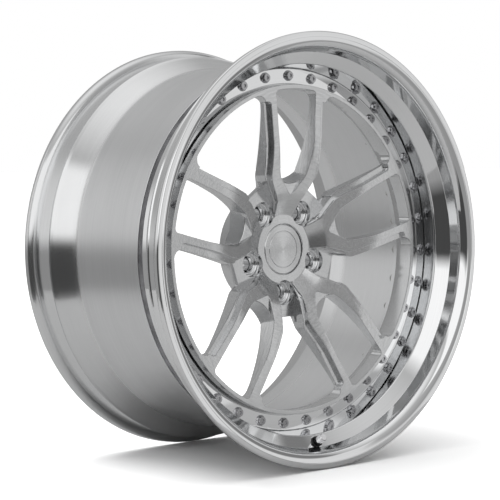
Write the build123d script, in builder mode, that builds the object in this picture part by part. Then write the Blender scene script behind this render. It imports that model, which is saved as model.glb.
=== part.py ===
"""Three-piece forged racing wheel, 20 x 10 inch: a five-fork centre bolted between a stepped
outer lip and an inner barrel, with its centre cap and its tyre valve.

Millimetres. The wheel's axis is Y, its outboard face looks along -Y, +Z is up and the origin
is on the axis at mid-width. A depth is measured inboard from the front plane of the outer lip.
"""

from build123d import *
from math import cos, sin, tan, radians
import os

os.makedirs("parts", exist_ok=True)

# ---- overall -------------------------------------------------------------------------------
WIDTH = 281.0               # over both flanges: 254 between the beads plus 13.5 each side
FLANGE_R = 273.9            # outer edge of the outer lip
REAR_FLANGE_R = 266.0       # outer edge of the barrel's flange
BEAD_R = 256.4              # bead seats, 512.8 across
BEAD_PLANE = 13.5           # flange edge to bead face
SPOKES = 5                  # forks, and lug holes between them
PITCH = 360 / SPOKES

# ---- bolted joint --------------------------------------------------------------------------
JOINT_DEPTH = 68.6          # face that the bolt heads sit on
LIP_WEB = 7.0               # thickness of the lip's flange in the joint
CENTER_WEB = 9.0            # thickness of the centre's flange in the joint
BARREL_WEB = 7.0            # thickness of the barrel's flange in the joint
CENTER_FRONT = JOINT_DEPTH + LIP_WEB
CENTER_BACK = CENTER_FRONT + CENTER_WEB
BARREL_BACK = CENTER_BACK + BARREL_WEB
JOINT_R = 237.0             # outside of the joint, and of the barrel
BOLTS = 35
BOLT_CIRCLE_R = 221.8
BOLT_R = 4.0
BOLT_HOLE_R = 4.2

# ---- centre --------------------------------------------------------------------------------
RING_R = 210.2              # outside of the centre's raised ring
RING_BORE_R = 204.8         # inside of the ring, where the windows end
FACE_DEPTH = 53.7           # ring and outer ends of the arms
DISH_DEPTH = 83.3           # flat dish round the cap
DISH_R = 44.4
POCKET_DEPTH = 84.6         # floor of the lug pockets
FORK_FLOOR_DEPTH = 68.6     # floor at the foot of each fork window
LEDGE_DROP = 5.8            # step from an arm's face to the ledge beside it
LEDGE_FOOT_DEPTH = 84.0     # where a ledge runs out beside the lug pocket
HUB_BACK = 125.0            # mounting face
HUB_PAD_R = 74.0
HUB_BORE_R = 33.3
CAP_BORE_R = 30.0
CAP_SEAT_R = 33.0
CAP_SEAT_DEPTH = 87.2
CAP_BORE_END = 100.0
LUG_CIRCLE_R = 56.0
LUG_HOLE_R = 7.5
LUG_POCKET_R = 15.9
LUG_SEAT_DEPTH = 94.6
LUG_CONE_R = 11.0
CONE_HALF_ANGLE = 30.0
CONE_DEPTH = (LUG_CONE_R - LUG_HOLE_R) / tan(radians(CONE_HALF_ANGLE))

# ---- valve ---------------------------------------------------------------------------------
VALVE_TILT = 28.0           # stem against the wheel's axis
VALVE_R = 244.3             # where the stem crosses its spot face, at the bottom of the wheel
VALVE_DEPTH = 30.5
VALVE_WEB = 5.0             # metal between the two spot faces
STEM_R = 4.0
STEM_BORE_R = 2.4
CORE_PIN_R = 0.7


def at(depth):
    """Y of a depth behind the front plane of the outer lip."""
    return depth - WIDTH / 2


def above(depth):
    """Height of a depth above mid-width, towards the outboard side."""
    return WIDTH / 2 - depth


def ring(plane, inner, outer, thickness):
    """Plain ring standing on a plane."""
    with BuildPart() as made:
        with BuildSketch(plane):
            Circle(outer)
            Circle(inner, mode=Mode.SUBTRACT)
        extrude(amount=thickness)
    return made.part


def round_off(sketch, x, y, radius):
    """Round the sketch corner nearest to a point."""
    fillet(sketch.vertices().sort_by_distance((x, y, 0))[0], radius)


# ---- outer lip -----------------------------------------------------------------------------
LIP_BORE_R = 212.0
LIP_GROOVE_R = 266.8        # fine line turned round the rim's flat
GROOVE_HALF = 0.35
GROOVE_DEPTH = 0.55
FLANGE_CURVE_R = 9.5

with BuildPart() as outer_lip:
    with BuildSketch() as lip_section:
        with BuildLine():
            Polyline(
                (LIP_BORE_R, at(CENTER_FRONT)),
                (LIP_BORE_R, at(JOINT_DEPTH)),
                (231.3, at(JOINT_DEPTH)),
                (235.0, at(36.1)),
                (249.6, at(23.8)),
                (252.9, at(12.6)),
            )
            RadiusArc((252.9, at(12.6)), (266.0, at(0.25)), -14.0)
            Polyline(
                (266.0, at(0.25)),
                (LIP_GROOVE_R - GROOVE_HALF, at(0.23)),
                (LIP_GROOVE_R, at(GROOVE_DEPTH)),
                (LIP_GROOVE_R + GROOVE_HALF, at(0.2)),
                (FLANGE_R - 1.8, at(0)),
            )
            ThreePointArc((FLANGE_R - 1.8, at(0)), (FLANGE_R - 0.5, at(0.6)), (FLANGE_R, at(2.0)))
            Line((FLANGE_R, at(2.0)), (FLANGE_R, at(BEAD_PLANE - FLANGE_CURVE_R)))
            RadiusArc(
                (FLANGE_R, at(BEAD_PLANE - FLANGE_CURVE_R)),
                (FLANGE_R - FLANGE_CURVE_R, at(BEAD_PLANE)),
                -FLANGE_CURVE_R,
            )
            Polyline(
                (FLANGE_R - FLANGE_CURVE_R, at(BEAD_PLANE)),
                (BEAD_R, at(BEAD_PLANE)),
                (255.0, at(39.5)),
                (256.1, at(41.5)),
                (255.0, at(43.5)),
                (238.6, at(62.0)),
                (JOINT_R, at(68.0)),
                (JOINT_R, at(CENTER_FRONT)),
                (LIP_BORE_R, at(CENTER_FRONT)),
            )
        make_face()
        round_off(lip_section, 231.3, at(JOINT_DEPTH), 2.0)
        round_off(lip_section, 235.0, at(36.1), 3.0)
        round_off(lip_section, 249.6, at(23.8), 1.2)
        round_off(lip_section, 252.9, at(12.6), 1.0)
        round_off(lip_section, BEAD_R, at(BEAD_PLANE), 6.0)
        round_off(lip_section, 255.0, at(43.5), 3.0)
        round_off(lip_section, 238.6, at(62.0), 8.0)
    revolve(axis=Axis.Y)


# ---- valve axes ----------------------------------------------------------------------------
TILT = radians(VALVE_TILT)
VALVE_AXIS = Vector(0, -cos(TILT), sin(TILT))
VALVE_FOOT = Vector(0, at(VALVE_DEPTH), -VALVE_R)
valve_plane = Plane(origin=VALVE_FOOT, x_dir=(1, 0, 0), z_dir=VALVE_AXIS)
valve_section = Plane(origin=VALVE_FOOT, x_dir=(1, 0, 0), z_dir=Vector(1, 0, 0).cross(VALVE_AXIS))
valve_line = Axis(VALVE_FOOT, VALVE_AXIS)
SPOT_R = 8.0                # spot face on the polished side
OUTER_SPOT_R = 10.5         # deeper spot face on the tyre side
VALVE_HOLE_R = 4.4

with outer_lip:
    with BuildSketch(Plane.XZ.offset(above(CENTER_FRONT))):
        with PolarLocations(BOLT_CIRCLE_R, BOLTS, start_angle=90):
            Circle(BOLT_HOLE_R)
    extrude(amount=LIP_WEB, mode=Mode.SUBTRACT)
    with BuildSketch(valve_plane):
        Circle(SPOT_R)
    extrude(amount=12, mode=Mode.SUBTRACT)
    with BuildSketch(valve_plane.offset(-VALVE_WEB)):
        Circle(OUTER_SPOT_R)
    extrude(amount=-40, mode=Mode.SUBTRACT)
    with BuildSketch(valve_plane):
        Circle(VALVE_HOLE_R)
    extrude(amount=-VALVE_WEB, mode=Mode.SUBTRACT)
outer_lip.part.label = "outer_lip"
export_step(outer_lip.part, "parts/outer_lip.step")


# ---- inner barrel --------------------------------------------------------------------------
BARREL_BORE_R = 209.5
BARREL_INSIDE_R = 230.6
REAR_CURVE_R = 9.0
REAR_BEAD = WIDTH - BEAD_PLANE

with BuildPart() as inner_barrel:
    with BuildSketch() as barrel_section:
        with BuildLine():
            Polyline(
                (BARREL_BORE_R, at(CENTER_BACK)),
                (JOINT_R, at(CENTER_BACK)),
                (JOINT_R, at(207)),
                (253.6, at(236)),
                (256.2, at(239)),
                (254.8, at(243)),
                (BEAD_R, at(REAR_BEAD)),
                (REAR_FLANGE_R - REAR_CURVE_R, at(REAR_BEAD)),
            )
            RadiusArc(
                (REAR_FLANGE_R - REAR_CURVE_R, at(REAR_BEAD)),
                (REAR_FLANGE_R, at(REAR_BEAD + REAR_CURVE_R)),
                -REAR_CURVE_R,
            )
            Polyline(
                (REAR_FLANGE_R, at(REAR_BEAD + REAR_CURVE_R)),
                (REAR_FLANGE_R, at(WIDTH)),
                (254.5, at(WIDTH)),
                (249.0, at(275.5)),
                (244.7, at(269)),
                (230.8, at(234.7)),
                (BARREL_INSIDE_R, at(BARREL_BACK)),
                (BARREL_BORE_R, at(BARREL_BACK)),
                (BARREL_BORE_R, at(CENTER_BACK)),
            )
        make_face()
        round_off(barrel_section, JOINT_R, at(207), 14.0)
        round_off(barrel_section, 253.6, at(236), 3.0)
        round_off(barrel_section, 254.8, at(243), 3.0)
        round_off(barrel_section, REAR_FLANGE_R, at(WIDTH), 2.0)
        round_off(barrel_section, 254.5, at(WIDTH), 2.5)
        round_off(barrel_section, 230.8, at(234.7), 6.0)
        round_off(barrel_section, BARREL_INSIDE_R, at(BARREL_BACK), 1.2)
    revolve(axis=Axis.Y)
    with BuildSketch(Plane.XZ.offset(above(BARREL_BACK))):
        with PolarLocations(BOLT_CIRCLE_R, BOLTS, start_angle=90):
            Circle(BOLT_HOLE_R)
    extrude(amount=BARREL_WEB, mode=Mode.SUBTRACT)
inner_barrel.part.label = "inner_barrel"
export_step(inner_barrel.part, "parts/inner_barrel.step")


# ---- tools that shape the centre -----------------------------------------------------------
# Each is drawn for the top fork, or for a lug axis turned to the top, and is then spun round.
# Front of the centre between the dish and the ring, as radius and depth.
NECK_R, NECK_DEPTH = 69.5, 68.4
CREST_R = 133.1
FRONT = 30.0                # a depth ahead of every face
BEHIND = 140.0              # a depth behind every face
THROUGH = BEHIND - FRONT

# Floor left at the foot of a fork window, ending in a conical scallop.
SCALLOP_Z = 120.5
SCALLOP_FRONT_R = 36.0
SCALLOP_BACK_R = 30.0
SCALLOP_BACK_DEPTH = 90.0

with BuildPart() as fork_floor:
    with BuildSketch(Plane.XZ.offset(above(BEHIND))):
        with Locations((0, 70)):
            Rectangle(100, 100)
    extrude(amount=BEHIND - FORK_FLOOR_DEPTH)
    with BuildSketch(Plane.XZ.offset(above(FORK_FLOOR_DEPTH))):
        with Locations((0, SCALLOP_Z)):
            Circle(SCALLOP_FRONT_R)
    with BuildSketch(Plane.XZ.offset(above(SCALLOP_BACK_DEPTH))):
        with Locations((0, SCALLOP_Z)):
            Circle(SCALLOP_BACK_R)
    loft(mode=Mode.SUBTRACT)
    with BuildSketch(Plane.XZ.offset(above(BEHIND))):
        with Locations((0, SCALLOP_Z)):
            Circle(SCALLOP_BACK_R)
    extrude(amount=BEHIND - SCALLOP_BACK_DEPTH, mode=Mode.SUBTRACT)

with BuildPart() as fork_window:
    with BuildSketch(Plane.XZ.offset(above(BEHIND))) as fork_outline:
        with BuildLine():
            half = Polyline((0, 69.5), (20.9, 92.8))
            side = Spline(
                (20.9, 92.8), (25.4, 110), (29.8, 138.2), (33.5, 191.7),
                tangents=((0.35, 1), (0.06, 1)),
            )
            end = Line((33.5, 191.7), (34.3, 201.9))
            ThreePointArc((34.3, 201.9), (0, RING_BORE_R), (-34.3, 201.9))
            mirror(half, about=Plane.YZ)
            mirror(side, about=Plane.YZ)
            mirror(end, about=Plane.YZ)
        make_face()
        round_off(fork_outline, 0, 69.5, 3.0)
        round_off(fork_outline, 20.9, 92.8, 12.0)
        round_off(fork_outline, -20.9, 92.8, 12.0)
        round_off(fork_outline, 34.3, 201.9, 6.0)
        round_off(fork_outline, -34.3, 201.9, 6.0)
    extrude(amount=THROUGH)
    add(fork_floor.part, mode=Mode.SUBTRACT)

with BuildPart() as large_window:
    with BuildSketch(Plane.XZ.offset(above(BEHIND))) as large_outline:
        with BuildLine():
            Polyline((-73.7, 191.1), (-19.0, 104.0), (-16.5, 87.3),
                     (16.5, 87.3), (19.0, 104.0), (73.7, 191.1))
            ThreePointArc((73.7, 191.1), (0, RING_BORE_R), (-73.7, 191.1))
        make_face()
        for side in (-1, 1):
            round_off(large_outline, side * 73.7, 191.1, 11.0)
            round_off(large_outline, side * 19.0, 104.0, 14.0)
            round_off(large_outline, side * 16.5, 87.3, 3.0)
    extrude(amount=THROUGH)

with BuildPart() as lug_pocket:
    with BuildSketch(Plane.XZ.offset(above(POCKET_DEPTH))) as pocket_outline:
        with BuildLine():
            Polyline((-13.0, 42.5), (-17.3, 61.0), (-19.6, 95.0),
                     (19.6, 95.0), (17.3, 61.0), (13.0, 42.5), (-13.0, 42.5))
        make_face()
    extrude(amount=POCKET_DEPTH - FRONT)
    with BuildSketch(Plane.XZ.offset(above(POCKET_DEPTH))):
        Circle(DISH_R)
    extrude(amount=POCKET_DEPTH - FRONT, mode=Mode.SUBTRACT)

with BuildPart() as lug_hole:
    with BuildSketch() as lug_section:
        with BuildLine():
            Polyline(
                (0, at(FRONT)),
                (LUG_POCKET_R, at(FRONT)),
                (LUG_POCKET_R, at(LUG_SEAT_DEPTH)),
                (LUG_CONE_R, at(LUG_SEAT_DEPTH)),
                (LUG_HOLE_R, at(LUG_SEAT_DEPTH + CONE_DEPTH)),
                (LUG_HOLE_R, at(BEHIND)),
                (0, at(BEHIND)),
                (0, at(FRONT)),
            )
        make_face()
        round_off(lug_section, LUG_POCKET_R, at(LUG_SEAT_DEPTH), 2.5)
    revolve(axis=Axis.Y)

# Everything ahead of the ledges, then the strips beside the arms that it clears.
with BuildPart() as ledge_cut:
    with BuildSketch() as ledge_section:
        with BuildLine():
            Polyline(
                (DISH_R, at(FRONT)),
                (DISH_R, at(LEDGE_FOOT_DEPTH)),
                (DISH_R + 3, at(LEDGE_FOOT_DEPTH)),
                (NECK_R, at(NECK_DEPTH + LEDGE_DROP)),
                (CREST_R, at(FACE_DEPTH + LEDGE_DROP)),
                (RING_BORE_R, at(FACE_DEPTH + LEDGE_DROP)),
                (RING_BORE_R, at(FRONT)),
                (DISH_R, at(FRONT)),
            )
        make_face()
        round_off(ledge_section, NECK_R, at(NECK_DEPTH + LEDGE_DROP), 45.0)
        round_off(ledge_section, CREST_R, at(FACE_DEPTH + LEDGE_DROP), 150.0)
    revolve(axis=Axis.Y)
    with BuildSketch(Plane.XZ.offset(above(BEHIND))) as ledge_outline:
        with BuildLine():
            Polyline(
                (-66.0, 183.2), (-75.2, 177.3), (-49.2, 135.5), (-24.2, 97.4), (-22.2, 90.8),
                (-20.2, 60.5), (-15.1, 48.4), (-12.0, 42.7),
                (12.0, 42.7), (15.1, 48.4), (20.2, 60.5),
                (22.2, 90.8), (24.2, 97.4), (49.2, 135.5), (75.2, 177.3), (66.0, 183.2),
                (-66.0, 183.2),
            )
        make_face()
        for side in (-1, 1):
            round_off(ledge_outline, side * 75.2, 177.3, 4.5)
            round_off(ledge_outline, side * 24.2, 97.4, 16.0)
            round_off(ledge_outline, side * 20.2, 60.5, 14.0)
    extrude(amount=THROUGH, mode=Mode.INTERSECT)


# ---- centre --------------------------------------------------------------------------------
with BuildPart() as wheel_center:
    with BuildSketch() as center_section:
        with BuildLine():
            Polyline(
                (80.0, at(96.0)),
                (77.0, at(103.0)),
                (HUB_PAD_R, at(HUB_BACK)),
                (HUB_BORE_R, at(HUB_BACK)),
                (HUB_BORE_R, at(CAP_BORE_END)),
                (CAP_BORE_R, at(CAP_BORE_END)),
                (CAP_BORE_R, at(CAP_SEAT_DEPTH)),
                (CAP_SEAT_R, at(CAP_SEAT_DEPTH)),
                (CAP_SEAT_R, at(DISH_DEPTH)),
                (DISH_R, at(DISH_DEPTH)),
                (NECK_R, at(NECK_DEPTH)),
                (CREST_R, at(FACE_DEPTH)),
                (RING_R, at(FACE_DEPTH)),
                (RING_R, at(CENTER_FRONT)),
                (232.0, at(CENTER_FRONT)),
                (232.0, at(CENTER_BACK)),
                (208.5, at(CENTER_BACK)),
                (RING_BORE_R, at(73.0)),
                (196.0, at(65.4)),
                (184.0, at(65.8)),
            )
            ThreePointArc((184.0, at(65.8)), (131.0, at(77.2)), (80.0, at(96.0)))
        make_face()
        round_off(center_section, DISH_R, at(DISH_DEPTH), 3.0)
        round_off(center_section, NECK_R, at(NECK_DEPTH), 45.0)
        round_off(center_section, CREST_R, at(FACE_DEPTH), 150.0)
        round_off(center_section, RING_R, at(FACE_DEPTH), 0.8)
        round_off(center_section, 196.0, at(65.4), 10.0)
        round_off(center_section, CAP_SEAT_R, at(DISH_DEPTH), 0.6)
        round_off(center_section, HUB_PAD_R, at(HUB_BACK), 1.5)
    revolve(axis=Axis.Y)
    for i in range(SPOKES):
        fork = PITCH * i
        lug = fork + PITCH / 2
        add(fork_window.part.rotate(Axis.Y, fork), mode=Mode.SUBTRACT)
        add(large_window.part.rotate(Axis.Y, lug), mode=Mode.SUBTRACT)
        add(lug_pocket.part.rotate(Axis.Y, lug), mode=Mode.SUBTRACT)
        add(ledge_cut.part.rotate(Axis.Y, lug), mode=Mode.SUBTRACT)
        add(lug_hole.part.translate((0, 0, LUG_CIRCLE_R)).rotate(Axis.Y, lug), mode=Mode.SUBTRACT)
    with BuildSketch(Plane.XZ.offset(above(CENTER_BACK))):
        with PolarLocations(BOLT_CIRCLE_R, BOLTS, start_angle=90):
            Circle(BOLT_HOLE_R)
    extrude(amount=CENTER_WEB, mode=Mode.SUBTRACT)
wheel_center.part.label = "wheel_center"
export_step(wheel_center.part, "parts/wheel_center.step")


# ---- bolts, washers and nuts of the joint --------------------------------------------------
HEAD_FLANGE_R = 6.8
HEAD_FLANGE_T = 1.1
HEAD_BEVEL = 0.7            # slope between the head's flange and its twelve points
HEAD_ACROSS = 9.2
HEAD_TOP = 4.4
HEAD_DIMPLE_R = 2.3
HEAD_DIMPLE_DEPTH = 1.2
WASHER_T = 1.6
WASHER_R = 7.4
NUT_T = 6.6
NUT_FLANGE_T = 1.4
NUT_ACROSS = 12.0
BOLT_END = 3.0              # thread showing past the nut
NUT_DEPTH = BARREL_BACK + WASHER_T

with BuildPart() as bolt:
    with BuildSketch(Plane.XY.offset(above(NUT_DEPTH + NUT_T + BOLT_END))):
        Circle(BOLT_R)
    extrude(amount=NUT_DEPTH + NUT_T + BOLT_END - JOINT_DEPTH)
    with BuildSketch(Plane.XY.offset(above(JOINT_DEPTH))):
        Circle(HEAD_FLANGE_R)
    extrude(amount=HEAD_FLANGE_T)
    with BuildSketch(Plane.XY.offset(above(JOINT_DEPTH) + HEAD_FLANGE_T)):
        Circle(HEAD_FLANGE_R)
    extrude(amount=HEAD_BEVEL, taper=45)
    with BuildSketch(Plane.XY.offset(above(JOINT_DEPTH) + HEAD_FLANGE_T + HEAD_BEVEL)):
        for turn in (0, 30):
            RegularPolygon(HEAD_ACROSS / 2, 6, major_radius=False, rotation=turn)
    extrude(amount=HEAD_TOP - HEAD_FLANGE_T - HEAD_BEVEL)
    with BuildSketch(Plane.XY.offset(above(JOINT_DEPTH) + HEAD_TOP)):
        Circle(HEAD_DIMPLE_R)
    extrude(amount=-HEAD_DIMPLE_DEPTH, mode=Mode.SUBTRACT)
    chamfer(bolt.faces().sort_by(Axis.Z)[0].edges(), 0.8)

with BuildPart(Plane.XZ) as assembly_bolts:
    with PolarLocations(BOLT_CIRCLE_R, BOLTS, start_angle=90):
        add(bolt.part)
assembly_bolts.part.label = "assembly_bolts"
export_step(assembly_bolts.part, "parts/assembly_bolts.step")

with BuildPart() as assembly_washers:
    with BuildSketch(Plane.XZ.offset(above(NUT_DEPTH))):
        with PolarLocations(BOLT_CIRCLE_R, BOLTS, start_angle=90):
            Circle(WASHER_R)
            Circle(BOLT_HOLE_R, mode=Mode.SUBTRACT)
    extrude(amount=WASHER_T)
assembly_washers.part.label = "assembly_washers"
export_step(assembly_washers.part, "parts/assembly_washers.step")

with BuildPart() as nut:
    with BuildSketch(Plane.XY.offset(above(NUT_DEPTH))):
        Circle(WASHER_R - 0.2)
    extrude(amount=-NUT_FLANGE_T)
    with BuildSketch(Plane.XY.offset(above(NUT_DEPTH) - NUT_FLANGE_T)):
        RegularPolygon(NUT_ACROSS / 2, 6, major_radius=False)
    extrude(amount=-(NUT_T - NUT_FLANGE_T))
    with BuildSketch(Plane.XY.offset(above(NUT_DEPTH))):
        Circle(BOLT_R)
    extrude(amount=-NUT_T, mode=Mode.SUBTRACT)

with BuildPart(Plane.XZ) as assembly_nuts:
    with PolarLocations(BOLT_CIRCLE_R, BOLTS, start_angle=90):
        add(nut.part)
assembly_nuts.part.label = "assembly_nuts"
export_step(assembly_nuts.part, "parts/assembly_nuts.step")

with BuildPart() as rim_sealant:
    add(ring(Plane.XZ.offset(above(CENTER_BACK)), 232.0, 236.2, CENTER_WEB))
    fillet(rim_sealant.edges().filter_by(GeomType.CIRCLE).group_by(SortBy.RADIUS)[-1], 1.2)
rim_sealant.part.label = "rim_sealant"
export_step(rim_sealant.part, "parts/rim_sealant.step")


# ---- centre cap ----------------------------------------------------------------------------
CAP_R = 32.4
CAP_FACE_DEPTH = 84.3
CAP_SKIRT_R = 29.92
CAP_SKIRT_END = 99.4
CAP_RECESS_R = 24.0
INSERT_R = 23.5
O_RING_DEPTH, O_RING_WIRE = 90.2, 1.3
CLIP_DEPTH, CLIP_WIRE = 95.4, 1.0
FITTED_R = CAP_BORE_R - 0.05    # outside of the O-ring and the clip when the cap is in
RECESS_DEPTH = CAP_FACE_DEPTH + 1.4
CAP_INSIDE_R = 25.0
CAP_INSIDE_DEPTH = 89.5

with BuildPart() as cap_body:
    with BuildSketch() as cap_section:
        with BuildLine():
            Polyline(
                (0, at(RECESS_DEPTH)),
                (CAP_RECESS_R, at(RECESS_DEPTH)),
                (CAP_RECESS_R, at(CAP_FACE_DEPTH + 0.2)),
                (CAP_R - 1.6, at(CAP_FACE_DEPTH)),
                (CAP_R, at(CAP_FACE_DEPTH + 1.0)),
                (CAP_R, at(CAP_SEAT_DEPTH)),
                (CAP_SKIRT_R, at(CAP_SEAT_DEPTH)),
                (CAP_SKIRT_R, at(O_RING_DEPTH - O_RING_WIRE)),
                (FITTED_R - 2 * O_RING_WIRE, at(O_RING_DEPTH - O_RING_WIRE)),
                (FITTED_R - 2 * O_RING_WIRE, at(O_RING_DEPTH + O_RING_WIRE)),
                (CAP_SKIRT_R, at(O_RING_DEPTH + O_RING_WIRE)),
                (CAP_SKIRT_R, at(CLIP_DEPTH - CLIP_WIRE)),
                (FITTED_R - 2 * CLIP_WIRE, at(CLIP_DEPTH - CLIP_WIRE)),
                (FITTED_R - 2 * CLIP_WIRE, at(CLIP_DEPTH + CLIP_WIRE)),
                (CAP_SKIRT_R, at(CLIP_DEPTH + CLIP_WIRE)),
                (CAP_SKIRT_R, at(CAP_SKIRT_END - 1.5)),
                (CAP_SKIRT_R - 1.0, at(CAP_SKIRT_END)),
                (CAP_INSIDE_R, at(CAP_SKIRT_END)),
                (CAP_INSIDE_R, at(CAP_INSIDE_DEPTH)),
                (0, at(CAP_INSIDE_DEPTH)),
                (0, at(RECESS_DEPTH)),
            )
        make_face()
    revolve(axis=Axis.Y)
cap_body.part.label = "cap_body"
export_step(cap_body.part, "parts/cap_body.step")

with BuildPart() as cap_insert:
    with BuildSketch(Plane.XZ.offset(above(RECESS_DEPTH))):
        Circle(INSERT_R)
    extrude(amount=1.3)
    chamfer(cap_insert.faces().sort_by(Axis.Y)[0].edges(), 0.35)
cap_insert.part.label = "cap_insert"
export_step(cap_insert.part, "parts/cap_insert.step")

with BuildPart() as cap_o_ring:
    with BuildSketch():
        with Locations((FITTED_R - O_RING_WIRE, at(O_RING_DEPTH))):
            Circle(O_RING_WIRE)
    revolve(axis=Axis.Y)
cap_o_ring.part.label = "cap_o_ring"
export_step(cap_o_ring.part, "parts/cap_o_ring.step")

# Round wire clip, open at the top so that it can be sprung into its groove.
CLIP_GAP = 16.0
with BuildPart() as cap_clip:
    with BuildSketch():
        with Locations((FITTED_R - CLIP_WIRE, at(CLIP_DEPTH))):
            Circle(CLIP_WIRE)
    revolve(axis=Axis.Y, revolution_arc=360 - CLIP_GAP)
cap_clip.part.label = "cap_clip"
export_step(cap_clip.part, "parts/cap_clip.step")


# ---- valve ---------------------------------------------------------------------------------
# Heights run along the stem from the polished side's spot face.
GROMMET_T = 2.6
VALVE_WASHER_T = 1.0
VALVE_NUT_T = 3.2
OUTER_GROMMET_T = 2.4
STEM_HEAD_T = 2.0
STEM_TOP = 14.6
STEM_FOOT = -VALVE_WEB - OUTER_GROMMET_T
NUT_TOP = GROMMET_T + VALVE_WASHER_T + VALVE_NUT_T
CORE_TOP, CORE_FOOT = 13.0, 6.5
SEAL_T = 1.2
PIN_HEAD_FOOT = CORE_TOP + 0.9
PIN_TOP = STEM_TOP - 0.5
PIN_HEAD_R = 1.1
SEAL_R = 2.2
AIR_R = 1.5                 # air passage below the core
AIR_TOP = 2.0
STEM_HEAD_R = 7.6
OUTER_GROMMET_R = 8.6
GROMMET_R = 7.2
VALVE_WASHER_R = 6.2
VALVE_NUT_ACROSS = 11.0

with BuildPart() as valve_stem:
    with BuildSketch(valve_plane.offset(STEM_FOOT - STEM_HEAD_T)):
        Circle(STEM_HEAD_R)
    extrude(amount=STEM_HEAD_T)
    fillet(valve_stem.edges(), 0.5)
    with BuildSketch(valve_plane.offset(STEM_FOOT)):
        Circle(STEM_R)
    extrude(amount=STEM_TOP - STEM_FOOT)
    chamfer(valve_stem.faces().sort_by(Axis(VALVE_FOOT, VALVE_AXIS))[-1].edges(), 0.5)
    with BuildSketch(valve_plane.offset(AIR_TOP)):
        Circle(STEM_BORE_R)
    extrude(amount=STEM_TOP - AIR_TOP, mode=Mode.SUBTRACT)
    with BuildSketch(valve_plane.offset(STEM_FOOT - STEM_HEAD_T)):
        Circle(AIR_R)
    extrude(amount=AIR_TOP - STEM_FOOT + STEM_HEAD_T, mode=Mode.SUBTRACT)
valve_stem.part.label = "valve_stem"
export_step(valve_stem.part, "parts/valve_stem.step")

with BuildPart() as valve_outer_grommet:
    add(ring(valve_plane.offset(STEM_FOOT), STEM_R, OUTER_GROMMET_R, OUTER_GROMMET_T))
valve_outer_grommet.part.label = "valve_outer_grommet"
export_step(valve_outer_grommet.part, "parts/valve_outer_grommet.step")

with BuildPart() as valve_grommet:
    add(ring(valve_plane, STEM_R, GROMMET_R, GROMMET_T))
    fillet(valve_grommet.faces().sort_by(valve_line)[-1].edges().sort_by(SortBy.RADIUS)[-1], 0.8)
valve_grommet.part.label = "valve_grommet"
export_step(valve_grommet.part, "parts/valve_grommet.step")

with BuildPart() as valve_washer:
    add(ring(valve_plane.offset(GROMMET_T), STEM_R + 0.1, VALVE_WASHER_R, VALVE_WASHER_T))
valve_washer.part.label = "valve_washer"
export_step(valve_washer.part, "parts/valve_washer.step")

with BuildPart() as valve_nut:
    with BuildSketch(valve_plane.offset(GROMMET_T + VALVE_WASHER_T)):
        RegularPolygon(VALVE_NUT_ACROSS / 2, 6, major_radius=False)
        Circle(STEM_R, mode=Mode.SUBTRACT)
    extrude(amount=VALVE_NUT_T)
valve_nut.part.label = "valve_nut"
export_step(valve_nut.part, "parts/valve_nut.step")

with BuildPart() as core_body:
    add(ring(valve_plane.offset(CORE_FOOT), CORE_PIN_R + 0.05, STEM_BORE_R, CORE_TOP - CORE_FOOT))
core_body.part.label = "core_body"
export_step(core_body.part, "parts/core_body.step")

with BuildPart() as core_pin:
    with BuildSketch(valve_plane.offset(CORE_FOOT - SEAL_T)):
        Circle(CORE_PIN_R)
    extrude(amount=PIN_TOP - CORE_FOOT + SEAL_T)
    with BuildSketch(valve_plane.offset(PIN_HEAD_FOOT)):
        Circle(PIN_HEAD_R)
    extrude(amount=PIN_TOP - PIN_HEAD_FOOT)
core_pin.part.label = "core_pin"
export_step(core_pin.part, "parts/core_pin.step")

# The seal under the core's foot is carried by the pin.
with BuildPart() as core_seal:
    add(ring(valve_plane.offset(CORE_FOOT - SEAL_T), CORE_PIN_R, SEAL_R, SEAL_T))
core_seal.part.label = "core_seal"
export_step(core_seal.part, "parts/core_seal.step")

# Return spring between the core's body and the pin's head.
SPRING_WIRE_R = 0.12
with BuildLine() as spring_path:
    Helix(0.3, 0.6, 0.9, center=VALVE_FOOT + VALVE_AXIS * (CORE_TOP + 0.15), direction=VALVE_AXIS)
with BuildPart() as core_spring:
    with BuildSketch(Plane(origin=spring_path.line @ 0, z_dir=spring_path.line % 0)):
        Circle(SPRING_WIRE_R)
    sweep(path=spring_path.line, is_frenet=True)
core_spring.part.label = "core_spring"
export_step(core_spring.part, "parts/core_spring.step")

CAP_FOOT = NUT_TOP + 0.5
CAP_TOP = 17.2
CAP_THREAD_R = STEM_R + 0.05
LINER_T = 0.8
VALVE_CAP_R = 5.1
KNURLS = 24
KNURL_R = 0.36

with BuildPart() as valve_cap:
    with BuildSketch(valve_plane.offset(CAP_FOOT)):
        Circle(VALVE_CAP_R)
    extrude(amount=CAP_TOP - CAP_FOOT)
    chamfer(valve_cap.faces().sort_by(valve_line)[-1].edges(), 0.9)
    with BuildSketch(valve_plane.offset(CAP_FOOT + 1.4)):
        with PolarLocations(VALVE_CAP_R + 0.1, KNURLS):
            Circle(KNURL_R)
    extrude(amount=CAP_TOP - CAP_FOOT - 2.6, mode=Mode.SUBTRACT)
    with BuildSketch(valve_plane.offset(CAP_FOOT)):
        Circle(CAP_THREAD_R)
    extrude(amount=STEM_TOP + LINER_T - CAP_FOOT, mode=Mode.SUBTRACT)
valve_cap.part.label = "valve_cap"
export_step(valve_cap.part, "parts/valve_cap.step")

with BuildPart() as valve_cap_liner:
    add(ring(valve_plane.offset(STEM_TOP), 1.6, CAP_THREAD_R - 0.05, LINER_T))
valve_cap_liner.part.label = "valve_cap_liner"
export_step(valve_cap_liner.part, "parts/valve_cap_liner.step")
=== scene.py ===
import bmesh
import bpy
from math import cos, hypot, pi, radians, sin, tan
from mathutils import Matrix, Vector


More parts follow.
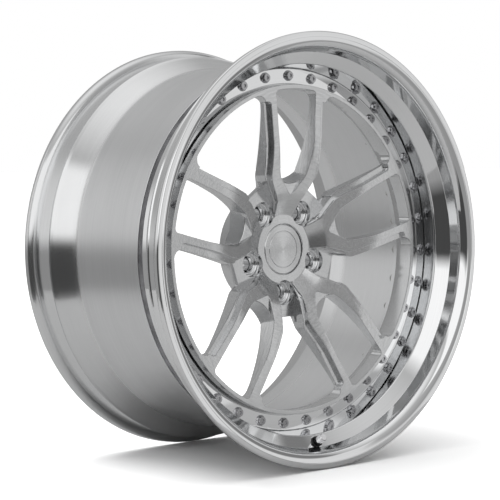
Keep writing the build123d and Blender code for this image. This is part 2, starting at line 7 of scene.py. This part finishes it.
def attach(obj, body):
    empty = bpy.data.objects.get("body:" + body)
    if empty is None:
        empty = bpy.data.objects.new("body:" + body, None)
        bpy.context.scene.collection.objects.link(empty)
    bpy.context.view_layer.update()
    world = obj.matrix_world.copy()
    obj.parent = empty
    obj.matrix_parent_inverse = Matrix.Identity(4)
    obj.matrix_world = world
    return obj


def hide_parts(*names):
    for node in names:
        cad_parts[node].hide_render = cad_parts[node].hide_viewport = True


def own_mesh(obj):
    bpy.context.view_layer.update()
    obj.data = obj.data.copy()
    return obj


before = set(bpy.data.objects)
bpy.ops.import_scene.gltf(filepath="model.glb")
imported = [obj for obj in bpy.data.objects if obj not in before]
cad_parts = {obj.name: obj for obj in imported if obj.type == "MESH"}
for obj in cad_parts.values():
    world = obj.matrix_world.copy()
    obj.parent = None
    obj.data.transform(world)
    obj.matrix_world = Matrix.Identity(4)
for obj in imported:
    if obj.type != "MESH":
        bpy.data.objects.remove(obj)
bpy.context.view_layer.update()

# Metres, in the CAD frame: the axis is Y, outboard is -Y, and a depth runs inboard from the
# front plane of the outer lip.
WIDTH = 0.281


def at(depth_mm):
    return depth_mm / 1000 - WIDTH / 2


# ---------------------------------------------------------------- node helpers
class Nodes:
    """Small wrapper round one material's node tree."""

    def __init__(self, name):
        self.material = bpy.data.materials.new(name)
        self.material.use_nodes = True
        self.tree = self.material.node_tree
        self.shader = self.tree.nodes["Principled BSDF"]

    def add(self, kind, **settings):
        node = self.tree.nodes.new(kind)
        for key, value in settings.items():
            setattr(node, key, value)
        return node

    def link(self, a, b):
        self.tree.links.new(a, b)

    def coords(self):
        return self.add("ShaderNodeTexCoord").outputs["Object"]

    def math(self, operation, a, b=None):
        node = self.add("ShaderNodeMath", operation=operation)
        for i, v in enumerate([a, b]):
            if v is None:
                continue
            if isinstance(v, (int, float)):
                node.inputs[i].default_value = v
            else:
                self.link(v, node.inputs[i])
        return node.outputs[0]

    def noise(self, vector, scale, detail=3.0, rough=0.5):
        node = self.add("ShaderNodeTexNoise")
        self.link(vector, node.inputs["Vector"])
        node.inputs["Scale"].default_value = scale
        node.inputs["Detail"].default_value = detail
        node.inputs["Roughness"].default_value = rough
        return node.outputs["Fac"]

    def stretch(self, vector, scale):
        node = self.add("ShaderNodeMapping")
        self.link(vector, node.inputs["Vector"])
        node.inputs["Scale"].default_value = scale
        return node.outputs["Vector"]

    def polar(self, vector, radial, along, around):
        """Coordinates that run round the wheel's axis, so grain follows the turning marks."""
        split = self.add("ShaderNodeSeparateXYZ")
        self.link(vector, split.inputs[0])
        x, y, z = split.outputs
        square = self.math("ADD", self.math("MULTIPLY", x, x), self.math("MULTIPLY", z, z))
        radius = self.math("SQRT", square)
        angle = self.math("ARCTAN2", z, x)
        join = self.add("ShaderNodeCombineXYZ")
        self.link(self.math("MULTIPLY", radius, radial), join.inputs[0])
        self.link(self.math("MULTIPLY", y, along), join.inputs[1])
        self.link(self.math("MULTIPLY", self.math("SINE", angle), around), join.inputs[2])
        return join.outputs[0]

    def ramp(self, fac, stops):
        node = self.add("ShaderNodeValToRGB")
        self.link(fac, node.inputs["Fac"])
        elements = node.color_ramp.elements
        while len(elements) < len(stops):
            elements.new(0.5)
        for element, (place, colour) in zip(elements, stops):
            element.position = place
            element.color = (*colour, 1)
        return node.outputs["Color"]

    def range(self, fac, low, high, from_low=0.0, from_high=1.0):
        node = self.add("ShaderNodeMapRange")
        self.link(fac, node.inputs["Value"])
        node.inputs["From Min"].default_value = from_low
        node.inputs["From Max"].default_value = from_high
        node.inputs["To Min"].default_value = low
        node.inputs["To Max"].default_value = high
        return node.outputs["Result"]

    def bump(self, height, strength, distance):
        node = self.add("ShaderNodeBump")
        node.inputs["Strength"].default_value = strength
        node.inputs["Distance"].default_value = distance
        self.link(height, node.inputs["Height"])
        self.link(node.outputs["Normal"], self.shader.inputs["Normal"])


def brushed_round(n, amount):
    """Stretch the highlights across turning marks that run round the wheel's axis."""
    tangent = n.add("ShaderNodeTangent", direction_type="RADIAL", axis="Y")
    n.link(tangent.outputs[0], n.shader.inputs["Tangent"])
    n.shader.inputs["Anisotropic"].default_value = amount
    n.shader.inputs["Anisotropic Rotation"].default_value = 0.25


CLOUD_SCALE = 9.0
SMUDGE_SCALE = 23.0
GRAIN_SHARE = 0.7
GRAIN_DEPTH = 0.0004


def metal(name, dark, light, rough, grain, bump, wear=0.02, round_grain=0.0):
    """Metal with a directional grain.

    rough is its least roughness and what the grain can raise it to. grain is
    ("turned", radial, along, around) or ("straight", x, y, z), as noise scales.
    """
    n = Nodes(name)
    coords = n.coords()
    kind, a, b, c = grain
    if kind == "turned":
        lines = n.polar(coords, a, b, c)
    else:
        lines = n.stretch(coords, (a, b, c))
    fine = n.noise(lines, 1.0, 4.0, 0.65)
    broad = n.noise(coords, CLOUD_SCALE, 4.0, 0.6)
    grain_part = n.math("MULTIPLY", fine, GRAIN_SHARE)
    mix = n.math("ADD", grain_part, n.math("MULTIPLY", broad, 1 - GRAIN_SHARE))
    n.link(n.ramp(mix, [(0.3, dark), (0.7, light)]), n.shader.inputs["Base Color"])
    n.shader.inputs["Metallic"].default_value = 1.0
    smudge = n.noise(coords, SMUDGE_SCALE, 5.0, 0.7)
    spread = n.math("MULTIPLY", fine, rough[1] - rough[0])
    level = n.math("ADD", spread, n.math("MULTIPLY", smudge, wear))
    n.link(n.math("ADD", level, rough[0]), n.shader.inputs["Roughness"])
    n.bump(fine, bump, GRAIN_DEPTH)
    if round_grain:
        brushed_round(n, round_grain)
    return n


POLISH_START, POLISH_FULL = 204, 214  # depths between which satin turns to polish


def barrel_finish(name):
    """Spun and brushed aluminium, with bands round it, brighter and finer past the drop."""
    n = Nodes(name)
    coords = n.coords()
    split = n.add("ShaderNodeSeparateXYZ")
    n.link(coords, split.inputs[0])
    fine = n.noise(n.polar(coords, 1500, 1500, 4), 1.0, 4.0, 0.6)
    bands = n.noise(n.polar(coords, 60, 60, 0.4), 1.0, 3.0, 0.6)
    smudge = n.noise(coords, 17.0, 5.0, 0.7)
    mix = n.math("ADD", n.math("MULTIPLY", fine, 0.45), n.math("MULTIPLY", bands, 0.35))
    mix = n.math("ADD", mix, n.math("MULTIPLY", smudge, 0.2))
    tones = [(0.3, (0.76, 0.765, 0.77)), (0.7, LIGHT_ALU)]
    n.link(n.ramp(mix, tones), n.shader.inputs["Base Color"])
    n.shader.inputs["Metallic"].default_value = 1.0
    polished = n.range(split.outputs[1], 0.0, 1.0, at(POLISH_START), at(POLISH_FULL))
    satin = n.range(mix, 0.27, 0.36, 0.3, 0.7)
    bright = n.range(mix, 0.13, 0.21, 0.3, 0.7)
    drop = n.math("MULTIPLY", n.math("SUBTRACT", satin, bright), polished)
    n.link(n.math("SUBTRACT", satin, drop), n.shader.inputs["Roughness"])
    n.bump(fine, 0.035, 0.0003)
    brushed_round(n, 0.75)
    return n


def rubber(name, tone, scale=900.0):
    n = Nodes(name)
    coords = n.coords()
    speck = n.noise(coords, scale, 3.0, 0.6)
    cloud = n.noise(coords, 60.0, 3.0, 0.5)
    dark = tuple(v * 0.7 for v in tone)
    light = tuple(v * 1.6 for v in tone)
    n.link(n.ramp(cloud, [(0.3, dark), (0.7, light)]), n.shader.inputs["Base Color"])
    n.link(n.range(speck, 0.55, 0.85), n.shader.inputs["Roughness"])
    n.bump(speck, 0.15, 0.0002)
    return n


# ---------------------------------------------------------------- materials
LIGHT_ALU = (0.88, 0.885, 0.89)
centre_metal = metal(
    "centre_brushed", (0.60, 0.605, 0.61), (0.86, 0.865, 0.87), (0.14, 0.24), ("turned", 700, 700, 40),
    bump=0.05, wear=0.06, round_grain=0.5,
)
# Milled grain for the walls, in a darker tone that is painted shade.
milled_and_shaded_wall_metal = metal(
    "centre_milled_painted_shade", (0.52, 0.525, 0.53), (0.82, 0.825, 0.83), (0.10, 0.20), ("turned", 40, 700, 300),
    bump=0.05, wear=0.04,
)
recess_metal = metal(
    "lug_recess_bright", (0.70, 0.705, 0.71), (0.84, 0.845, 0.85), (0.07, 0.15),
    ("straight", 200, 1400, 200), bump=0.03,
)
lip_metal = metal(
    "lip_polished", (0.88, 0.885, 0.89), (0.94, 0.945, 0.95), (0.02, 0.05), ("turned", 900, 900, 2),
    bump=0.004, wear=0.03,
)
barrel_metal = barrel_finish("barrel_spun")
cap_metal = metal(
    "cap_brushed", (0.66, 0.665, 0.67), LIGHT_ALU, (0.20, 0.30), ("turned", 2200, 2200, 3),
    bump=0.03, round_grain=0.85,
)
bolt_metal = metal(
    "dark_chrome", (0.34, 0.34, 0.35), (0.56, 0.56, 0.57), (0.06, 0.16), ("straight", 500, 500, 500),
    bump=0.02,
)
anodised = metal(
    "black_anodised", (0.012, 0.012, 0.013), (0.05, 0.05, 0.052), (0.22, 0.36),
    ("straight", 700, 700, 700), bump=0.03,
)
steel = metal(
    "zinc_steel", (0.42, 0.42, 0.41), (0.62, 0.62, 0.6), (0.3, 0.5), ("straight", 700, 200, 700),
    bump=0.03,
)
spring = metal(
    "spring_steel", (0.3, 0.3, 0.31), (0.5, 0.5, 0.51), (0.25, 0.4), ("straight", 400, 400, 900),
    bump=0.02,
)
chrome = metal(
    "valve_chrome", (0.7, 0.7, 0.71), (0.88, 0.88, 0.89), (0.05, 0.15), ("straight", 300, 900, 300),
    bump=0.02,
)
brass = metal(
    "brass", (0.62, 0.45, 0.2), (0.8, 0.62, 0.33), (0.2, 0.35), ("straight", 600, 300, 600),
    bump=0.03,
)
black = rubber("black_rubber", (0.02, 0.02, 0.021))
grey = rubber("grey_sealant", (0.09, 0.09, 0.095), 500.0)

NODE_MATERIALS = {
    "wheel_center": centre_metal, "outer_lip": lip_metal, "inner_barrel": barrel_metal,
    "assembly_bolts": bolt_metal, "assembly_washers": steel, "assembly_nuts": steel,
    "rim_sealant": grey, "cap_body": cap_metal, "cap_insert": cap_metal, "cap_o_ring": black,
    "cap_clip": spring, "valve_stem": chrome, "valve_outer_grommet": black,
    "valve_grommet": black, "valve_washer": anodised, "valve_nut": anodised, "core_body": brass,
    "core_pin": brass, "core_seal": black, "core_spring": spring, "valve_cap": chrome,
    "valve_cap_liner": black,
}


def paint(obj, nodes):
    obj.data.materials.clear()
    obj.data.materials.append(nodes.material)


for name, nodes in NODE_MATERIALS.items():
    paint(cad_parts[name], nodes)

# ---------------------------------------------------------------- turned pieces
# The lip and the barrel are turned again from the CAD sections at a finer pitch, because
# polished metal shows every facet.
SEGMENTS = 600
CORNER_STEPS = 5
ARC_STEPS = 14
BOLTS = 35
BOLT_CIRCLE_R = 0.2218
BOLT_HOLE_R = 0.0042
BOLT_HOLE_SIDES = 24
VALVE_HOLE_SIDES = 64
OVERRUN = 2  # how far a bolt hole's cutter runs past each face, in mm
LIP_FLANGE = (68.6, 75.6)
BARREL_FLANGE = (84.6, 91.6)


def arc(centre, radius, start, end):
    """Points of an arc in a section, from one angle to another in degrees."""
    points = []
    for i in range(ARC_STEPS + 1):
        a = radians(start + (end - start) * i / ARC_STEPS)
        points.append((centre[0] + radius * cos(a), centre[1] + radius * sin(a), 0))
    return points


def rounded(section):
    """Section in mm with each corner (radius, depth, fillet) turned into short runs."""
    result = []
    for i, (r, d, fillet) in enumerate(section):
        corner = Vector((r, d))
        if not fillet:
            result.append(corner)
            continue
        before = Vector(section[i - 1][:2]) - corner
        after = Vector(section[(i + 1) % len(section)][:2]) - corner
        u, v = before.normalized(), after.normalized()
        half = u.angle(v) / 2
        reach = min(fillet / tan(half), before.length * 0.45, after.length * 0.45)
        centre = corner + (u + v).normalized() * (reach / cos(half))
        a, b = corner + u * reach - centre, corner + v * reach - centre
        for step in range(CORNER_STEPS + 1):
            t = step / CORNER_STEPS
            spin = a.angle_signed(b) * t
            across = a.x * cos(spin) + a.y * sin(spin)
            deep = a.y * cos(spin) - a.x * sin(spin)
            result.append(centre + Vector((across, deep)))
    return result


def turned_mesh(name, section):
    """Closed ring made by turning a section round the wheel's axis."""
    points = rounded(section)
    verts = []
    for i in range(SEGMENTS):
        a = 2 * pi * i / SEGMENTS
        verts.extend((p.x / 1000 * sin(a), at(p.y), p.x / 1000 * cos(a)) for p in points)
    n = len(points)
    faces = []
    for i in range(SEGMENTS):
        j = (i + 1) % SEGMENTS
        for k in range(n):
            m = (k + 1) % n
            faces.append((i * n + k, i * n + m, j * n + m, j * n + k))
    mesh = bpy.data.meshes.new(name)
    mesh.from_pydata(verts, [], faces)
    work = bmesh.new()
    work.from_mesh(mesh)
    bmesh.ops.recalc_face_normals(work, faces=work.faces)
    work.to_mesh(mesh)
    work.free()
    return mesh


def rod(work, steps, place, axis, sides):
    """Add a stepped closed rod, steps being (radius, height) pairs along its axis in metres."""
    side = axis.orthogonal().normalized()
    other = axis.cross(side)
    rings = []
    for radius, height in steps:
        ring = []
        for i in range(sides):
            a = 2 * pi * i / sides
            outward = side * cos(a) + other * sin(a)
            ring.append(work.verts.new(place + axis * height + outward * radius))
        rings.append(ring)
    for low, high in zip(rings, rings[1:]):
        for i in range(sides):
            work.faces.new((low[i], low[(i + 1) % sides], high[(i + 1) % sides], high[i]))
    work.faces.new(rings[0][::-1])
    work.faces.new(rings[-1])


def cut(obj, work):
    """Subtract the rods from a piece and keep the result as its mesh."""
    bmesh.ops.recalc_face_normals(work, faces=work.faces)
    tool_mesh = bpy.data.meshes.new("tool")
    work.to_mesh(tool_mesh)
    work.free()
    tool = bpy.data.objects.new("tool", tool_mesh)
    bpy.context.scene.collection.objects.link(tool)
    step = obj.modifiers.new("holes", "BOOLEAN")
    step.operation = "DIFFERENCE"
    step.solver = "EXACT"
    step.object = tool
    bpy.context.view_layer.update()
    evaluated = obj.evaluated_get(bpy.context.evaluated_depsgraph_get())
    mesh = bpy.data.meshes.new_from_object(evaluated)
    obj.modifiers.clear()
    obj.data = mesh
    bpy.data.objects.remove(tool)


def finish_piece(obj, node, nodes, sharp=36):
    """Shade, paint and hand over a piece of the wheel that stands in for a CAD node."""
    obj.data.shade_smooth()
    obj.data.set_sharp_from_angle(angle=radians(sharp))
    weighted = obj.modifiers.new("normals", "WEIGHTED_NORMAL")
    weighted.keep_sharp = True
    paint(obj, nodes)
    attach(obj, "wheel")
    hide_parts(node)


def new_piece(name, mesh):
    obj = bpy.data.objects.new(name, mesh)
    bpy.context.scene.collection.objects.link(obj)
    return obj


def bolt_holes(flange):
    """Cutters for the ring of bolt holes through a flange, given as (front, back) depths."""
    front, back = flange
    work = bmesh.new()
    for i in range(BOLTS):
        a = 2 * pi * i / BOLTS
        place = Vector((BOLT_CIRCLE_R * sin(a), 0, BOLT_CIRCLE_R * cos(a)))
        steps = [(BOLT_HOLE_R, at(front - OVERRUN)), (BOLT_HOLE_R, at(back + OVERRUN))]
        rod(work, steps, place, Vector((0, 1, 0)), BOLT_HOLE_SIDES)
    return work


# Sections as (radius, depth, corner fillet) in mm.
LIP_SECTION = [
    (212.0, 75.6, 0.3), (212.0, 68.6, 0.4), (231.3, 68.6, 2.0), (235.0, 36.1, 3.0),
    (249.6, 23.8, 1.2), (252.9, 12.6, 0),
    *arc((266.805, 14.227), 14.0, 186.7, 266.7)[1:],
    (266.45, 0.23, 0), (266.8, 0.55, 0), (267.15, 0.20, 0),
    (272.1, 0.0, 0), (272.8, 0.17, 0), (273.35, 0.6, 0), (273.75, 1.2, 0), (273.9, 2.0, 0),
    *arc((264.4, 4.0), 9.5, 0, 90),
    (256.4, 13.5, 6.0), (255.0, 39.5, 0.8), (256.1, 41.5, 0.8), (255.0, 43.5, 3.0),
    (238.6, 62.0, 8.0), (237.0, 68.0, 0.8), (237.0, 75.6, 0.5),
]
BARREL_SECTION = [
    (209.5, 84.6, 0.4), (237.0, 84.6, 0.5), (237.0, 207.0, 14.0), (253.6, 236.0, 3.0),
    (256.2, 239.0, 0.8), (254.8, 243.0, 3.0), (256.4, 267.5, 0.8),
    *arc((257.0, 276.5), 9.0, -90, 0),
    (266.0, 281.0, 2.0), (254.5, 281.0, 2.5), (249.0, 275.5, 1.0), (244.7, 269.0, 1.5),
    (230.8, 234.7, 6.0), (230.6, 91.6, 1.2), (209.5, 91.6, 0.4),
]

# The valve's line, from the foot of its hole outwards, and that hole's steps in metres.
VALVE_TILT = radians(28)
VALVE_AXIS = Vector((0, -cos(VALVE_TILT), sin(VALVE_TILT)))
VALVE_FOOT = Vector((0, at(30.5), -0.2443))

VALVE_HOLE = [
    (0.0105, -0.040), (0.0105, -0.005), (0.0044, -0.005), (0.0044, 0), (0.008, 0), (0.008, 0.012),
]

lip = new_piece("lip_turned", turned_mesh("lip_turned", LIP_SECTION))
cutters = bolt_holes(LIP_FLANGE)
rod(cutters, VALVE_HOLE, VALVE_FOOT, VALVE_AXIS, VALVE_HOLE_SIDES)
cut(lip, cutters)
finish_piece(lip, "outer_lip", lip_metal)

barrel = new_piece("barrel_turned", turned_mesh("barrel_turned", BARREL_SECTION))
cut(barrel, bolt_holes(BARREL_FLANGE))
finish_piece(barrel, "inner_barrel", barrel_metal)

# ---------------------------------------------------------------- centre
# The CAD centre with the small broken edges that milled metal has, and a finish for each kind of face.
# The walls' finish is also a little darker, which is painted shade on the faces that turn away from
# the axis.
EDGE_BREAK = 0.0008
EDGE_ANGLE = radians(35)
FLAT_ANGLE = radians(0.6)
MERGE_GAP = 2e-6
LUGS = 5
LUG_CIRCLE_R = 0.056
LUG_START, LUG_STEP = 36, 72
RECESS_R = 0.0163
RECESS_FRONT = 80
WALL_SLANT = 0.6  # a face whose normal has less than this along the axis is a wall
RING_EDGE_R = 0.2105


def lug_distance(place):
    """Distance from the axis of the nearest lug hole."""
    gaps = []
    for i in range(LUGS):
        a = radians(LUG_START + LUG_STEP * i)
        gaps.append(hypot(place.x - LUG_CIRCLE_R * sin(a), place.z - LUG_CIRCLE_R * cos(a)))
    return min(gaps)


def broken_edge(edge):
    """True for a crisp outer edge inside the bolted ring."""
    if len(edge.link_faces) != 2 or not edge.is_convex:
        return False
    if max(hypot(v.co.x, v.co.z) for v in edge.verts) > RING_EDGE_R:
        return False
    return edge.calc_face_angle(0) > EDGE_ANGLE


centre = new_piece("centre_machined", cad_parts["wheel_center"].data.copy())
work = bmesh.new()
work.from_mesh(centre.data)
bmesh.ops.remove_doubles(work, verts=work.verts, dist=MERGE_GAP)
bmesh.ops.dissolve_limit(
    work, angle_limit=FLAT_ANGLE, use_dissolve_boundaries=False, verts=work.verts, edges=work.edges,
)
bmesh.ops.bevel(
    work, geom=[e for e in work.edges if broken_edge(e)], offset=EDGE_BREAK, offset_type="OFFSET",
    segments=2, profile=0.5, affect="EDGES", clamp_overlap=False,
)
work.to_mesh(centre.data)
work.free()
finish_piece(centre, "wheel_center", centre_metal, sharp=30)
centre.data.materials.append(milled_and_shaded_wall_metal.material)
centre.data.materials.append(recess_metal.material)
FACE, WALL, RECESS = 0, 1, 2
for face in centre.data.polygons:
    if lug_distance(face.center) < RECESS_R and face.center.y > at(RECESS_FRONT):
        face.material_index = RECESS
    # Sideways faces get the darker wall tone, which is painted shade.
    elif abs(face.normal.y) < WALL_SLANT:
        face.material_index = WALL
    else:
        face.material_index = FACE

# ---------------------------------------------------------------- valve spring
# The spring is taken over from the CAD node unchanged, although the CAD spring is too short for the
# pin's travel.
coils = new_piece("core_spring_coils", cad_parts["core_spring"].data.copy())
paint(coils, spring)
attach(coils, "wheel")
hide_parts("core_spring")
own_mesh(coils)

# ---------------------------------------------------------------- camera
camera = bpy.data.objects.new("camera", bpy.data.cameras.new("camera"))
bpy.context.scene.collection.objects.link(camera)
bpy.context.scene.camera = camera
CAMERA_AZIMUTH, CAMERA_ELEVATION, CAMERA_ROLL = -41.356, 2.408, -1.166
CAMERA_PLACE = (-1.6193, -1.8310, 0.1009)
CAMERA_LENS = 134.64
az, el = radians(CAMERA_AZIMUTH), radians(CAMERA_ELEVATION)
back = Vector((sin(az) * cos(el), -cos(az) * cos(el), sin(el)))
right = Vector((cos(az), sin(az), 0))
up = back.cross(right)
roll = radians(CAMERA_ROLL)
right, up = cos(roll) * right + sin(roll) * up, -sin(roll) * right + cos(roll) * up
camera.matrix_world = Matrix((right, up, back)).transposed().to_4x4()
camera.location = CAMERA_PLACE
camera.data.lens = CAMERA_LENS
camera.data.sensor_width = 36
camera.data.clip_end = 60

# ---------------------------------------------------------------- floor
# The wheel stands on both flanges, and the rear one is smaller, so the floor rises behind.
# Seen directly the floor is burnt out to white, as in a cut-out studio picture. Reflections
# show a small grey sheet of paper in its place, and the tent past the paper's edge.
FRONT_R, REAR_R = 0.2739, 0.2660
TREAD_SPAN = WIDTH - 0.005  # between the lines where the two flanges touch the floor
FLOOR_SIZE = 14.0
PAPER_SIZE = 0.72
FLOOR_GAP = 0.0004
FLOOR_GREY, PAPER_GREY = 1.6, 0.5
slope = (FRONT_R - REAR_R) / TREAD_SPAN


def sheet(name, size, gap, grey):
    """Flat sheet under the wheel, reaching size metres each way."""
    points = []
    for x, y in ((-1, -1), (1, -1), (1, 1), (-1, 1)):
        z = -FRONT_R - gap + slope * (y * size + TREAD_SPAN / 2)
        points.append((x * size, y * size, z))
    mesh = bpy.data.meshes.new(name)
    mesh.from_pydata(points, [], [(0, 1, 2, 3)])
    obj = bpy.data.objects.new(name, mesh)
    bpy.context.scene.collection.objects.link(obj)
    nodes = Nodes(name)
    nodes.shader.inputs["Base Color"].default_value = (grey, grey, grey, 1)
    nodes.shader.inputs["Roughness"].default_value = 1.0
    nodes.shader.inputs["Specular IOR Level"].default_value = 0.0
    obj.data.materials.append(nodes.material)
    return obj


floor = sheet("floor", FLOOR_SIZE, 2 * FLOOR_GAP, FLOOR_GREY)
floor.visible_glossy = False
paper = sheet("paper", PAPER_SIZE, FLOOR_GAP, PAPER_GREY)
paper.visible_camera = False
paper.visible_diffuse = False
paper.visible_shadow = False

# ---------------------------------------------------------------- light
# A grey tent with softboxes in it, and dark gaps between them.
world = bpy.data.worlds.new("world")
bpy.context.scene.world = world
world.use_nodes = True
tree = world.node_tree
background = tree.nodes["Background"]


def world_node(kind, **settings):
    node = tree.nodes.new(kind)
    for key, value in settings.items():
        setattr(node, key, value)
    return node


def world_math(operation, *inputs):
    node = world_node("ShaderNodeMath", operation=operation)
    for socket, v in zip(node.inputs, inputs):
        if isinstance(v, (int, float)):
            socket.default_value = v
        else:
            tree.links.new(v, socket)
    return node.outputs[0]


def world_ramp(fac, stops):
    node = world_node("ShaderNodeValToRGB")
    tree.links.new(fac, node.inputs["Fac"])
    elements = node.color_ramp.elements
    while len(elements) < len(stops):
        elements.new(0.5)
    for element, (place, grey) in zip(elements, stops):
        element.position = place
        element.color = (grey, grey, grey, 1)
    return node.outputs["Color"]


def by_elevation(stops):
    """Ramp over the sine of the elevation, from straight down to straight up."""
    return world_ramp(height, [(0.5 + 0.5 * sin(radians(degrees)), grey) for degrees, grey in stops])


direction = world_node("ShaderNodeTexCoord").outputs["Generated"]
split = world_node("ShaderNodeSeparateXYZ")
tree.links.new(direction, split.inputs[0])
dx, dy, dz = split.outputs
height = world_math("MULTIPLY_ADD", dz, 0.5, 0.5)


def by_azimuth(stops):
    """Ramp round the horizon: 0 is outboard and positive turns towards +X."""
    return world_ramp(bearing, [(0.5 + degrees / 360, grey) for degrees, grey in stops])


turn = world_math("ARCTAN2", dx, world_math("MULTIPLY", dy, -1.0))
bearing = world_math("MULTIPLY_ADD", turn, 0.5 / pi, 0.5)


def box(azimuth, elevation, edge=6.0):
    """Mask of one softbox or gap: 1 inside the two ranges, fading to 0 over a soft edge."""
    masks = []
    for ramp, (low, high) in ((by_azimuth, azimuth), (by_elevation, elevation)):
        masks.append(ramp([(low - edge, 0), (low, 1), (high, 1), (high + edge, 0)]))
    return world_math("MULTIPLY", *masks)


# The tent as (elevation, level), and what hangs in it as (azimuths, elevations, level).
TENT = [(-90, 0.5), (-25, 0.3), (0, 0.3), (45, 0.45), (90, 0.9)]
SOFTBOXES = [
    ((-100, 0), (5, 40), 1.0),      # long softbox above the camera
    ((40, 60), (-20, 40), 0.7),     # strip to the right of the camera
    ((85, 115), (-20, 40), 0.7),    # strip behind to the right
    ((-145, -120), (5, 40), 0.75),  # strip behind to the left
    ((-110, -15), (-20, 2), 0.06),  # dark gap below the long softbox
    ((60, 82), (-20, 40), 0.2),     # gap between the two strips
]
tent = by_elevation(TENT)
for azimuth, elevation, level in SOFTBOXES:
    mask = box(azimuth, elevation)
    keep = world_math("SUBTRACT", 1.0, mask)
    tent = world_math("MULTIPLY_ADD", mask, level, world_math("MULTIPLY", tent, keep))
rays = world_node("ShaderNodeLightPath")
seen = rays.outputs["Is Camera Ray"]
# Dimming the tent for matt surfaces leaves more of the floor's light to the two lamps.
TENT_DIMMING = -0.4
lit = world_math("MULTIPLY_ADD", rays.outputs["Is Diffuse Ray"], TENT_DIMMING, 1.0)
unseen = world_math("MULTIPLY", lit, world_math("SUBTRACT", 1.0, seen))
strength = world_math("ADD", world_math("MULTIPLY", tent, unseen), seen)
tree.links.new(strength, background.inputs["Strength"])
background.inputs["Color"].default_value = (1, 1, 1, 1)

KEY_PLACE = Vector((-1.0, 0.6, 2.6))
KEY_SIZE = 1.8
KEY_POWER = 30
OVERHEAD_STRENGTH = 1.0
OVERHEAD_SPREAD = radians(90)
OVERHEAD_TILT = (radians(-8), radians(4), 0)


def lamp(name, kind, energy):
    """Lamp that lights matt surfaces and is kept out of reflections."""
    light = bpy.data.lights.new(name, kind)
    light.energy = energy
    obj = bpy.data.objects.new(name, light)
    bpy.context.scene.collection.objects.link(obj)
    obj.visible_glossy = False
    return obj


key = lamp("key", "AREA", KEY_POWER)
key.data.shape = "RECTANGLE"
key.data.size = key.data.size_y = KEY_SIZE
key.location = KEY_PLACE
key.rotation_euler = (-KEY_PLACE).to_track_quat("-Z", "Y").to_euler()
overhead = lamp("overhead", "SUN", OVERHEAD_STRENGTH)
overhead.data.angle = OVERHEAD_SPREAD
overhead.rotation_euler = OVERHEAD_TILT
bpy.context.scene.view_settings.view_transform = "Standard"
